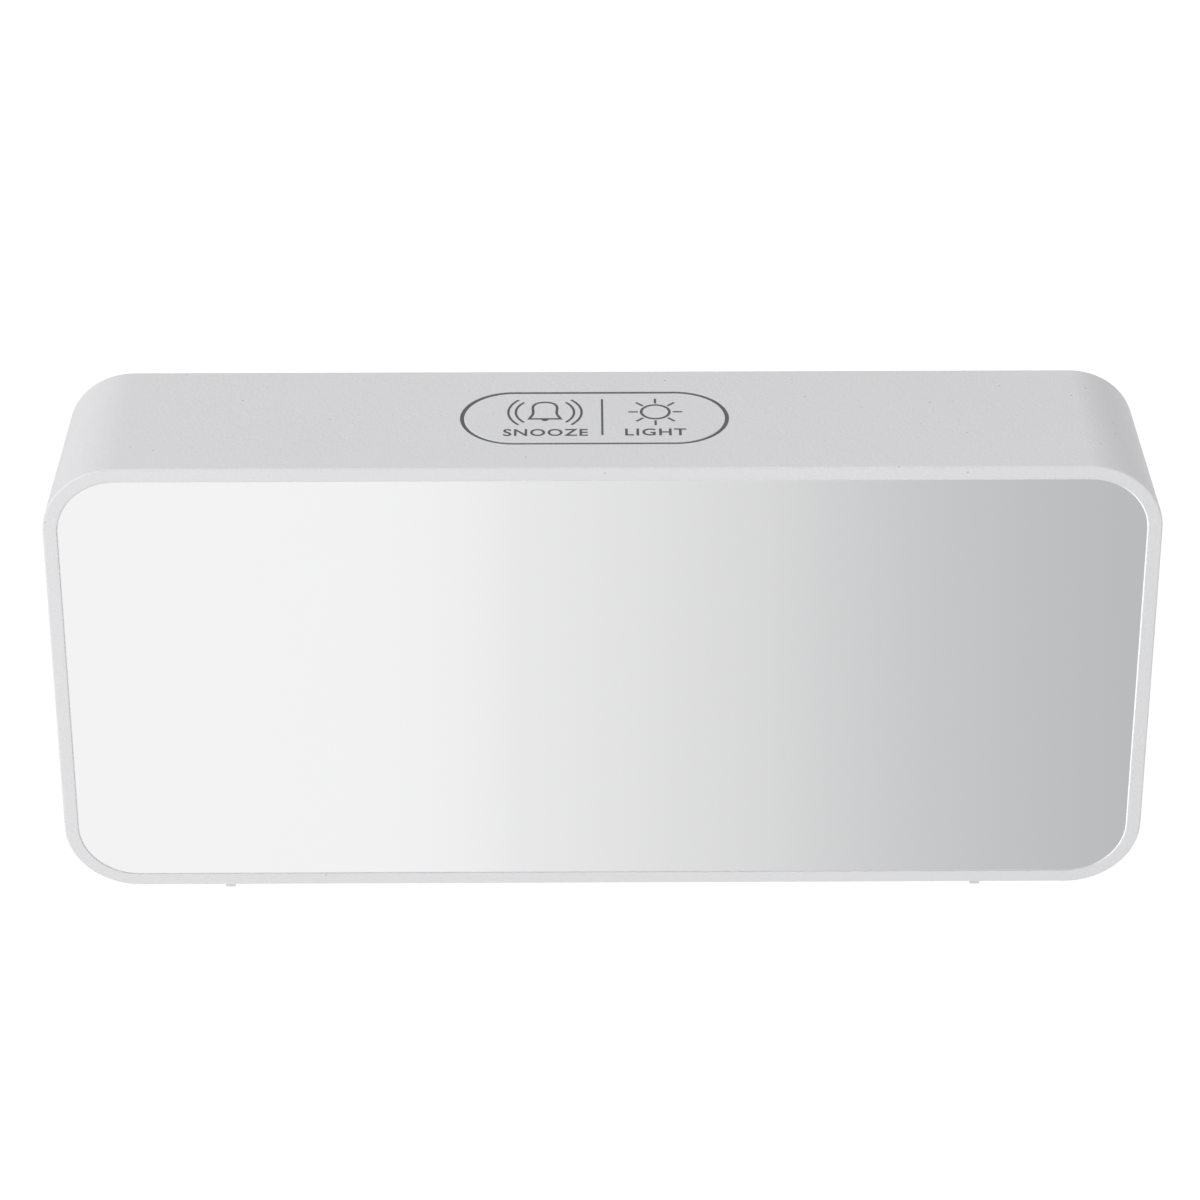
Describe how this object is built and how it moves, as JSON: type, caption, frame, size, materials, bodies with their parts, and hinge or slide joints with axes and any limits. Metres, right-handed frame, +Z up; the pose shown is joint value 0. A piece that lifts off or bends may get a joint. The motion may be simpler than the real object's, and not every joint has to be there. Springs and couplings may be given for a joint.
{
  "type": "alarm clock",
  "caption": "Slim rectangular digital alarm clock with a mirror front, a snooze and light key on top, rear buttons and a hinged battery door.",
  "frame": {"origin": "on the table, under the centre of the case: the bottom centre of the whole clock's box, at the soles of its feet", "axes": "+X to the right of someone who faces the mirror, +Y from the mirror to the rear cover, +Z up"},
  "size_m": [0.162, 0.0294, 0.0764],
  "materials": {
    "case_white": "fine matt white moulding",
    "key_white": "fine matt white moulding",
    "mirror": "half-mirror coated acrylic",
    "tape": "black foam tape",
    "film": "translucent film",
    "reflector": "white, high reflectance",
    "board": "green solder mask",
    "chip": "black moulding",
    "plunger": "natural nylon",
    "plated_steel": "nickel-plated",
    "wire_red": "soft vinyl",
    "wire_black": "soft vinyl",
    "ribbon": "flat cable",
    "foot": "soft, pale",
    "seal": "soft, dark grey"
  },
  "bodies": {
    "case": {"front_housing": "case_white", "key_seal": "seal", "foot_left": "foot", "foot_right": "foot", "mirror_lens": "mirror", "lens_tape": "tape", "diffuser_film": "film", "segment_reflector": "reflector", "main_board": "board", "microcontroller": "chip", "display_driver": "chip", "clock_crystal": "plated_steel", "reservoir_capacitor": "chip", "buzzer": "chip", "board_screw_1": "plated_steel", "board_screw_2": "plated_steel", "board_screw_3": "plated_steel", "board_screw_4": "plated_steel", "rear_cover": "case_white", "case_screw_1": "plated_steel", "case_screw_2": "plated_steel", "case_screw_3": "plated_steel", "case_screw_4": "plated_steel", "contact_negative": "plated_steel", "contact_positive": "plated_steel", "contact_bridge_left": "plated_steel", "contact_bridge_right": "plated_steel", "wire_negative": "wire_black", "wire_positive": "wire_red", "ribbon_rear_board": "ribbon", "ribbon_key_board": "ribbon", "rear_board": "board", "rear_board_screw_1": "plated_steel", "rear_board_screw_2": "plated_steel", "usb_socket": "plated_steel", "usb_tongue": "chip", "switch_mode": "chip", "switch_set": "chip", "switch_down": "chip", "switch_up": "chip", "key_board": "board", "key_board_screw_1": "plated_steel", "key_board_screw_2": "plated_steel", "key_switch_left": "chip", "key_switch_right": "chip"},
    "top_key": {"snooze_light_key": "key_white", "key_plunger_left": "plunger", "key_plunger_right": "plunger"},
    "mode_button": {"button_mode": "key_white", "plunger_mode": "plunger"},
    "set_button": {"button_set": "key_white", "plunger_set": "plunger"},
    "down_button": {"button_down": "key_white", "plunger_down": "plunger"},
    "up_button": {"button_up": "key_white", "plunger_up": "plunger"},
    "door": {"battery_door": "case_white"}
  },
  "joints": [
    {"name": "top_key_press", "type": "slide", "parent": "case", "child": "top_key", "axis": [0, 0, -1], "range_m": [0, 0.0006], "stiffness_N_per_m": 3600},
    {"name": "mode_button_press", "type": "slide", "parent": "case", "child": "mode_button", "axis": [0, -1, 0], "range_m": [0, 0.0005], "stiffness_N_per_m": 2400},
    {"name": "set_button_press", "type": "slide", "parent": "case", "child": "set_button", "axis": [0, -1, 0], "range_m": [0, 0.0005], "stiffness_N_per_m": 2400},
    {"name": "down_button_press", "type": "slide", "parent": "case", "child": "down_button", "axis": [0, -1, 0], "range_m": [0, 0.0005], "stiffness_N_per_m": 2400},
    {"name": "up_button_press", "type": "slide", "parent": "case", "child": "up_button", "axis": [0, -1, 0], "range_m": [0, 0.0005], "stiffness_N_per_m": 2400},
    {"name": "battery_door_hinge", "type": "hinge", "parent": "case", "child": "door", "pos_m": [0, 0.0141, 0.0117], "axis": [-1, 0, 0], "range_deg": [0, 75]}
  ]
}
